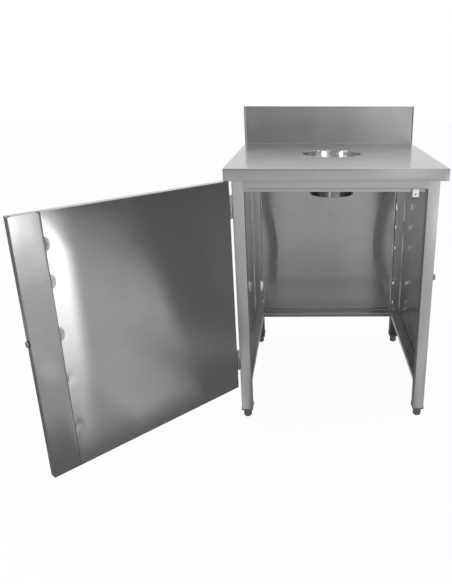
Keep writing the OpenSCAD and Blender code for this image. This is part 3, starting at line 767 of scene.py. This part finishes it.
for level in ("upper", "lower"):
    softened(level + "_hinge_frame_knuckle", fitting_steel, "cabinet", 0.5)
    softened(level + "_hinge_door_knuckle", fitting_steel, "door", 0.5)
    softened(level + "_hinge_pin", fitting_steel, "cabinet", 0.4)
    softened(level + "_hinge_washer", brass, "cabinet", 0.15)
softened("door_stop_strip", rail_steel, "cabinet", 0.4)
softened("catch_bracket", fitting_steel, "cabinet", 0.4)
softened("catch_plate", white_plastic, "cabinet", 0.6, 3)
softened("insert_screws", fitting_steel, "cabinet", 0.6, 3)
softened("leg_stud_washer", rubber, "cabinet", 0.5)
softened("door_stud_washer", rubber, "door", 0.5)
softened("leg_stud", fitting_steel, "cabinet", 1.0, 4)
softened("door_stud", fitting_steel, "door", 1.0, 4)

FOOT_PAD = [(0.01, 0.6), (7, 0.35), (9.5, 0.0), (11.2, 0.3), (12.4, 1.4), (13.6, 3.6), (14.3, 6.5), (14.5, 9)]
FOOT_GROOVE = [(14.5, 24), (14.1, 24.5), (14.1, 25.5), (14.5, 26)]
FOOT_TOP = [(14.5, 30.2), (14.1, 30.7), (6.5, 30.8), (5.2, 30.6), (5.1, 27)]
for corner in ("front_left", "front_right", "rear_left", "rear_right"):
    body = corner + "_levelling_foot"
    softened(corner + "_insert", black_plastic, "cabinet", 0.6)
    softened(corner + "_foot_stud", fitting_steel, body, 0.4)
    x, y = box_mm(corner + "_foot").mean(0)[:2]
    foot = turned(FOOT_PAD + FOOT_GROOVE + FOOT_TOP, 48, (x, y, 0))
    piece(corner + "_foot_shaped", foot, black_plastic, body, [corner + "_foot"], weld=True)

# Weld seams


def frame_weld_seams():
    """The beads where the bottom rails meet the legs, and along the foot of each side sheet."""
    low, high = RAIL_FOOT + 1, SHEET_LOW - 1
    seams = []
    for side in (-1, 1):
        end = side * (LEG_INNER - 0.2)
        for z in (RAIL_FOOT + 0.5, SHEET_LOW - 0.5):
            seams.append(([(end, REAR_LEG_FRONT + 0.6, z), (end, SHEET_FACE, z)], 1.1))
        x, y = side * LEG_INNER, REAR_LEG_FRONT + 0.2
        seams.append(([(x, y, low), (x, y, high)], 1.2))
        x = side * SHEET_FACE
        seams.append(([(x, FRONT_LEG_BACK + 1, SHEET_LOW), (x, REAR_LEG_FRONT - 1, SHEET_LOW)], 0.7))
        x, y = side * (LEG_INNER + 1), FRONT_LEG_BACK - 0.2
        seams.append(([(x, y, low), (x, y, high)], 1.2))
    return gathered([weld_bead(path, radius, seed=i * 1.7) for i, (path, radius) in enumerate(seams)])


piece("frame_weld_seams", frame_weld_seams(), weld_steel, "cabinet", weld=True)


def rear_sheet_edges():
    """The sheets' bright edges against the rear legs, in stretches from one height down to another, and the
    spot welds on those legs as low domes of (x, z, half width, half height)."""
    at_side, at_back = (SHEET_FACE - 1.2, REAR_LEG_FRONT - 0.8), (LEG_INNER - 1.2, SHEET_FACE - 1.2)
    edges = (
        (-1, at_side, 1.2, ((835, 172),)),
        (-1, at_back, 1.5, ((832, 575), (520, 395), (340, 200))),
        (1, at_back, 1.1, ((700, 560), (470, 400), (310, 165))),
        (1, at_side, 1.1, ((830, 575), (520, 395), (300, 170))),
    )
    beads = []
    for seed, (side, (x, y), radius, runs) in enumerate(edges):
        for high, low in runs:
            beads.append(weld_bead([(side * x, y, high), (side * x, y, low)], radius, 0.8, seed))
    left_spots = ((-297, 282, 6, 26), (-308, 548, 2, 3), (-292, 205, 2, 9))
    right_spots = (
        (293.5, 640, 2.6, 15), (294, 552, 2.6, 9), (294, 458, 2.4, 8), (296, 294, 5, 8),
        (296, 200, 3, 9), (303, 312, 2, 3), (302, 168, 7, 2.4),
    )
    dome, faces = turned([(1.0, 0.0), (0.86, 0.35), (0.55, 0.72), (0.01, 0.9)], 18)
    for x, z, wide, tall in left_spots + right_spots:
        y = REAR_LEG_FRONT - 0.03 - 0.55 * dome[:, 2]
        beads.append((np.stack([dome[:, 0] * wide + x, y, dome[:, 1] * tall + z], 1), faces))
    return gathered(beads)


sheet_edges = piece("rear_sheet_edges", rear_sheet_edges(), ground_steel, "cabinet", weld=True)


def ground_joints():
    """The front rail's two joints, ground flush: a strip 8.4 mm wide over each, from the apron's foot down
    to the rail's, bowed out by 0.05 mm."""
    u, z = np.meshgrid(np.linspace(-1, 1, 15), np.linspace(SHEET_HIGH + 0.4, APRON_FOOT - 0.2, 24))
    y = FRONT_LEG_FRONT - 0.12 - 0.05 * (1 - u * u)
    parts = []
    for side in (-1, 1):
        x = side * (LEG_INNER - 0.4) + 4.2 * u
        parts.append((np.stack([x, y, z], -1).reshape(-1, 3), sheet_faces(*u.shape)))
    return gathered(parts)


piece("front_rail_ground_joints", ground_joints(), rail_steel, "cabinet")


def hinge_welds(middle, door_side):
    """Three weld lumps that hold a knuckle's tab, above the hinge's middle on the door and below it on the
    leg: low domes stretched along the tab."""
    dome, faces = turned([(0.01, 1.5), (0.8, 1.35), (1.5, 0.8), (1.8, 0.0)], 14)
    parts = []
    for offset in (9, 19, 29):
        if door_side:
            x, y, z = DOOR_EDGE - 0.2, DOOR_BACK - 2.2, middle + offset
        else:
            x, y, z = -LEG_OUTER - 0.3, KNUCKLE_BACK + 0.2, middle - offset
        p = np.stack([x - dome[:, 2] * 0.7, y + dome[:, 0], dome[:, 1] * 2.2 + z], 1)
        parts.append((from_door(p) if door_side else p, faces))
    return gathered(parts)


for level in ("upper", "lower"):
    middle = box_mm(level + "_hinge_washer")[:, 2].mean().round(1)
    piece(level + "_hinge_door_welds", hinge_welds(middle, True), weld_steel, "door", weld=True)
    piece(level + "_hinge_frame_welds", hinge_welds(middle, False), weld_steel, "cabinet", weld=True)

# Camera at the photograph's viewing angle

camera_data = bpy.data.cameras.new("photo_camera")
camera = placed("photo_camera", camera_data)
bpy.context.scene.camera = camera
camera_data.sensor_width = 36.0
camera_data.lens = 35.095
camera_data.shift_x = -0.15368
camera_data.shift_y = -0.01757
camera_data.clip_start, camera_data.clip_end = 0.05, 60
pitch, yaw, roll = math.radians(-19.84), math.radians(-0.88), math.radians(0.15)
right = np.array([math.cos(yaw), math.sin(yaw), 0])
ahead = np.array([-math.sin(yaw), math.cos(yaw), 0])
above = np.array([0, 0, 1.0])
look = math.cos(pitch) * ahead + math.sin(pitch) * above
top = -math.sin(pitch) * ahead + math.cos(pitch) * above
across = math.cos(roll) * right + math.sin(roll) * top
upright = -math.sin(roll) * right + math.cos(roll) * top
columns = np.stack([across, upright, -look, EYE * MM], 1)
camera.matrix_world = Matrix([*columns.tolist(), [0, 0, 0, 1]])

# Studio, in metres: the room that the steel mirrors, as boards that only reflections show

ROOM_LEFT, ROOM_RIGHT, ROOM_FRONT = -3.2, 4.6, -3.6
SIDE_ROOM_LEFT = -3.4
WALL, CEILING, LOW_WALL = 3.6, 2.7, 1.9
FLOOR_LIFT = 0.001
SHADE_FRONT = -0.345


def lit_board(name, x, y, z, level):
    """A studio board that shows only in reflections: a grid of points, glowing by level at each point."""
    mesh = bpy.data.meshes.new(name)
    points = np.stack([x, y, z], -1).reshape(-1, 3)
    mesh.from_pydata(points.tolist(), [], sheet_faces(*x.shape).tolist())
    drawn = mesh.attributes.new("level", "FLOAT", "POINT")
    drawn.data.foreach_set("value", np.asarray(level, np.float32).ravel())
    material = bpy.data.materials.new(name)
    tree = bare_tree(material)
    read = added(tree, "Attribute", {}, attribute_name="level")
    glow = added(tree, "Emission", {"Strength": read.outputs["Fac"]})
    added(tree, "OutputMaterial", {"Surface": glow.outputs[0]})
    mesh.materials.append(material)
    made = placed(name, mesh)
    made.visible_camera = False
    made.visible_diffuse = False
    made.visible_shadow = False


def pale_floor():
    """A pale floor. The camera sees it almost as a plain white glow, reflections by a smaller share."""
    material = bpy.data.materials.new("pale_floor")
    tree = bare_tree(material)
    path = added(tree, "LightPath", {})
    seen = combined(tree, "MULTIPLY", path.outputs["Is Camera Ray"], 0.95)
    inputs = {0: path.outputs["Is Glossy Ray"], 1: 0.15, 2: seen}
    share = added(tree, "Math", inputs, operation="MULTIPLY_ADD")
    paint = added(tree, "BsdfDiffuse", {"Color": (0.9, 0.9, 0.9, 1)})
    glow = added(tree, "Emission", {"Strength": 1.0})
    mixed = added(tree, "MixShader", {0: share.outputs[0], 1: paint.outputs[0], 2: glow.outputs[0]})
    added(tree, "OutputMaterial", {"Surface": mixed.outputs[0]})
    return material


floor_mesh = bpy.data.meshes.new("studio_floor")
floor_mesh.from_pydata([(-14, -14, 0), (14, -14, 0), (14, 14, 0), (-14, 14, 0)], [], [(0, 1, 2, 3)])
floor_mesh.materials.append(pale_floor())
studio_floor = placed("studio_floor", floor_mesh)


def white_studio():
    """A white world, at full strength for what is seen, mirrored or seen through, and at 0.7 for what it
    lights."""
    world = bpy.data.worlds.new("white_studio")
    tree = bare_tree(world)
    path = added(tree, "LightPath", {})
    seen = combined(tree, "MAXIMUM", path.outputs["Is Camera Ray"], path.outputs["Is Glossy Ray"])
    seen = combined(tree, "MAXIMUM", seen, path.outputs["Is Transmission Ray"])
    back = added(tree, "Background", {"Color": (1, 1, 1, 1), "Strength": ranged(tree, seen, 0.7, 1.0)})
    added(tree, "OutputWorld", {"Surface": back.outputs[0]})
    return world


bpy.context.scene.world = white_studio()

lamp_data = bpy.data.lights.new("overhead_softbox", "AREA")
lamp_data.shape = "RECTANGLE"
lamp_data.size, lamp_data.size_y = 5.0, 4.0
lamp_data.energy = 60
lamp = placed("overhead_softbox", lamp_data)
lamp.location = (-0.6, -0.6, 3.4)
lamp.visible_glossy = False


def door_view(x, y):
    """Where a floor point in metres shows in the flat door, as (x', z) in door millimetres. The line from
    the camera's mirror image behind the door to the floor point meets the door at the share t of the way."""
    across_door = np.array([math.cos(DOOR_ANGLE), -math.sin(DOOR_ANGLE)])
    out_of_door = np.array([math.sin(DOOR_ANGLE), math.cos(DOOR_ANGLE)])
    hinge = HINGE + DOOR_BACK * out_of_door
    eye = EYE[:2] - 2 * ((EYE[:2] - hinge) @ out_of_door) * out_of_door
    floor = np.stack([x, y], -1) / MM
    depth = (floor - eye) @ out_of_door
    t = ((hinge - eye) @ out_of_door) / np.where(np.abs(depth) < 1, 1, depth)
    met = eye + t[..., None] * (floor - eye)
    return (met - HINGE) @ across_door, EYE[2] * (1 - t)


def front_wall():
    """The wall behind the camera, lighter to the right as far as x = 1 m. It is brightest about 0.4 m up,
    and dimmer above 0.6 m, with two soft streaks."""
    x, z = np.meshgrid(np.linspace(ROOM_LEFT, ROOM_RIGHT, 160), np.linspace(0, WALL, 90))
    upper = curve(
        x, (-1.5, 0.22), (-0.6, 0.27), (0.15, 0.36), (0.45, 0.46), (0.62, 0.66), (0.85, 0.76),
        (0.95, 0.82), (1.02, 0.78), (1.1, 0.42),
    )
    upper += 0.12 * np.exp(-(((x - 0.11) / 0.035) ** 2)) + 0.03 * np.exp(-(((x - 0.36) / 0.05) ** 2))
    lower = curve(x, (-0.83, 0.64), (0.17, 0.7), (0.75, 0.78), (1.0, 0.44), (1.16, 0.34))
    lower *= 1 + 0.45 * eased((z - 0.15) / 0.2) + 0.9 * eased((x - 0.55) / 0.4) * eased((z - 0.29) / 0.07)
    level = lower + (upper - lower) * eased((z - 0.44) / 0.16)
    return x, np.full_like(x, ROOM_FRONT), z, level


def ceiling():
    """A dim ceiling over the room in front of the object."""
    x, y = np.meshgrid(np.linspace(SIDE_ROOM_LEFT, ROOM_RIGHT, 20), np.linspace(ROOM_FRONT, 0.8, 20))
    return x, y, np.full_like(x, CEILING), np.full_like(x, 0.6)


def front_floor():
    """The floor in front of the object. Beyond the stretch that the legs and the back mirror, its level
    follows the place x', z where it shows in the door: dark towards the hinge and low down, lighter along
    the free end, with one bright patch at the top of the band."""
    x, y = np.meshgrid(np.linspace(ROOM_LEFT, ROOM_RIGHT, 300), np.linspace(ROOM_FRONT, SHADE_FRONT, 200))
    across, height = door_view(x, y)
    dark_to = curve(
        height, (140, 420), (210, 290), (260, 200), (320, 140), (380, 195), (440, 245), (560, 265),
        (620, 300), (720, 380), (800, 450), (860, 500),
    )
    soft = curve(height, (320, 18), (620, 28), (800, 100))
    peak = curve(
        height, (200, 0.46), (260, 0.56), (320, 0.6), (380, 0.58), (440, 0.52), (560, 0.5),
        (680, 0.48), (800, 0.36),
    )
    foot_fade = eased((height - 165) / 80)
    inner = 0.17 + peak * eased((across - dark_to + soft) / (2 * soft)) * foot_fade
    band = curve(
        height, (215, 0.17), (260, 0.25), (320, 0.4), (390, 0.46), (425, 0.6), (455, 0.6),
        (485, 0.57), (560, 0.56), (620, 0.54), (720, 0.56), (790, 0.55),
    )
    band += 3.4 * eased((across - 619) / 12) * eased((height - 794) / 16)
    level = inner + (band - inner) * eased((across - 520) / 70)
    near = curve(-y, (0.36, 0.24), (0.5, 0.3), (0.65, 0.4), (0.95, 0.5), (1.5, 0.56), (3.0, 0.56))
    near -= 0.13 * eased((0.2 - np.abs(x)) / 0.1) * eased((y + 1.45) / 0.4)
    leg_side = LEG_OUTER * MM + 0.235 * (FRONT_LEG_FRONT * MM - y)
    share = eased((leg_side + 0.06 - x) / 0.06) * eased((x + leg_side + 0.1) / 0.06) * foot_fade
    share *= 1 - eased((across - 592) / 10) * eased((350 - height) / 30)
    level = level + (near - level) * share
    return x, y, np.full_like(x, FLOOR_LIFT), np.clip(level, 0.04, 3.0)


def right_wall():
    """The dark room beyond the right end of the floor, with a bright corner towards the camera."""
    y, z = np.meshgrid(np.linspace(ROOM_FRONT, 2.6, 160), np.linspace(0, LOW_WALL, 30))
    return np.full_like(y, ROOM_RIGHT), y, z, 0.11 + 1.3 * eased((-2.7 - y) / 0.3)


def left_room():
    """The dark room beyond the left side, a little lighter between 0.3 m and 1.2 m up."""
    y, z = np.meshgrid(np.linspace(-1.2, 3.4, 60), np.linspace(0, LOW_WALL, 30))
    level = 0.2 + 0.25 * eased((z - 0.3) / 0.5) * eased((1.2 - z) / 0.3)
    return np.full_like(y, SIDE_ROOM_LEFT), y, z, level


def left_floor():
    """The floor beyond the left side, dark but for a lighter strip across it."""
    x, y = np.meshgrid(np.linspace(SIDE_ROOM_LEFT, -0.93, 60), np.linspace(-0.75, 3.2, 40))
    return x, y, np.full_like(x, FLOOR_LIFT), 0.17 + 0.22 * np.exp(-(((x + 2.1) / 0.3) ** 2))


def cabinet_floor():
    """The floor inside the cabinet and behind it, in its shade."""
    x, y = np.meshgrid(np.linspace(-0.5, 0.5, 120), np.linspace(SHADE_FRONT, 1.3, 80))
    level = 0.13 - 0.09 * eased((np.abs(x) - 0.255) / 0.015) * eased(y / 0.05)
    level += 0.12 * eased((-0.1 - y) / 0.15) + 0.6 * eased((y - 0.9) / 0.4)
    return x, y, np.full_like(x, FLOOR_LIFT), level


for board_shape in (front_wall, ceiling, front_floor, right_wall, left_room, left_floor, cabinet_floor):
    lit_board("studio_" + board_shape.__name__, *board_shape())


def strip_light(name, centre, facing, width, height, level, lit, roll=0.0):
    """A strip light that lights only the given pieces and glows by level. It faces along facing, and roll
    turns it about that way, in radians."""
    data = bpy.data.lights.new(name, "AREA")
    data.shape = "RECTANGLE"
    data.size, data.size_y = width, height
    data.energy = math.pi * width * height
    data.use_nodes = True
    data.node_tree.nodes["Emission"].inputs["Strength"].default_value = level
    made = placed(name, data)
    turn = Vector(facing).to_track_quat("-Z", "Y").to_matrix().to_4x4() @ Matrix.Rotation(roll, 4, "Z")
    made.matrix_world = Matrix.Translation(centre) @ turn
    made.visible_camera = False
    made.visible_diffuse = False
    receivers = bpy.data.collections.new(name + "_lights")
    for part in lit:
        receivers.objects.link(part)
    made.light_linking.receiver_collection = receivers
    return made


def tapered(light, foot, head, soft, drawn, low, high):
    """Makes a strip light's glow uneven. It goes from the level foot at the floor to its full level at the
    height head. At the side that lies to the right as the light looks it fades over soft, and that side is
    drawn in by drawn, not yet at the height low and fully at high."""
    tree = light.data.node_tree
    strength = tree.nodes["Emission"].inputs["Strength"]
    right = light.matrix_world.to_3x3() @ Vector((1, 0, 0))
    side = right.dot(light.matrix_world.translation) + light.data.size / 2
    place = added(tree, "NewGeometry", {}).outputs["Position"]
    height = added(tree, "SeparateXYZ", {0: place}).outputs["Z"]
    along = added(tree, "VectorMath", {0: place, 1: right}, operation="DOT_PRODUCT").outputs["Value"]
    rise = ranged(tree, height, foot, strength.default_value, 0.0, head, "SMOOTHSTEP")
    limit = ranged(tree, height, side, side - drawn, low, high, "SMOOTHSTEP")
    fade = ranged(tree, combined(tree, "SUBTRACT", limit, along), 0, 1, 0, soft, "SMOOTHSTEP")
    tree.links.new(combined(tree, "MULTIPLY", rise, fade), strength)


seam_centre, seam_facing = (-0.4873, -0.8628, 0.401), (-0.87, 0.5, 0)
seam_strip = strip_light("seam_strip", seam_centre, seam_facing, 0.171, 0.782, 1.78, [door_inner])
tapered(seam_strip, foot=0.1, head=0.8, soft=0.07, drawn=0.115, low=0.69, high=0.81)

UPWARD, TO_WALL, TO_CAMERA = (0, 0, 1), (0, 1, 0), (0, -1, 0)
for side, name, level in ((-1, "left", 0.42), (1, "right", 0.3)):
    leg, rail = [tubes["front_" + name + "_leg"]], [tubes[name + "_bottom_rail"]]
    strip_light(name + "_leg_strip", (side * 0.385, -0.64, 0.003), UPWARD, 0.16, 0.56, level, leg)
    strip_light(name + "_rail_strip", (side * 0.25, 0.29, 0.003), UPWARD, 0.06, 0.7, 0.7, rail)
    strip_light(name + "_rail_edge_strip", (side * 0.1, 0.6, 0.25), TO_CAMERA, 0.3, 0.3, 0.9, rail)
strip_light("chute_left_strip", (-0.0106, 0.06, 0.868), TO_WALL, 0.0074, 0.06, 2.6, [chute_inner])
strip_light("chute_right_strip", (0.0107, 0.06, 0.868), TO_WALL, 0.0078, 0.06, 2.6, [chute_inner])
strip_light("chute_stub_strip", (-0.05, -0.26, 0.6), TO_WALL, 0.012, 0.3, 2.4, [chute_outer])
floor_roll = math.radians(45.6)
strip_light("door_floor_strip", (-0.014, -0.8, 0.004), UPWARD, 0.58, 0.3, 0.24, [door_inner], floor_roll)
strip_light("band_floor_strip", (0.07, -1.135, 0.004), UPWARD, 0.1, 0.07, 0.5, [band_piece], floor_roll)
strip_light("rear_edge_softbox", (0, -0.25, 0.45), TO_WALL, 0.56, 0.8, 2.2, [sheet_edges])

scene = bpy.context.scene
scene.view_settings.view_transform = "Standard"
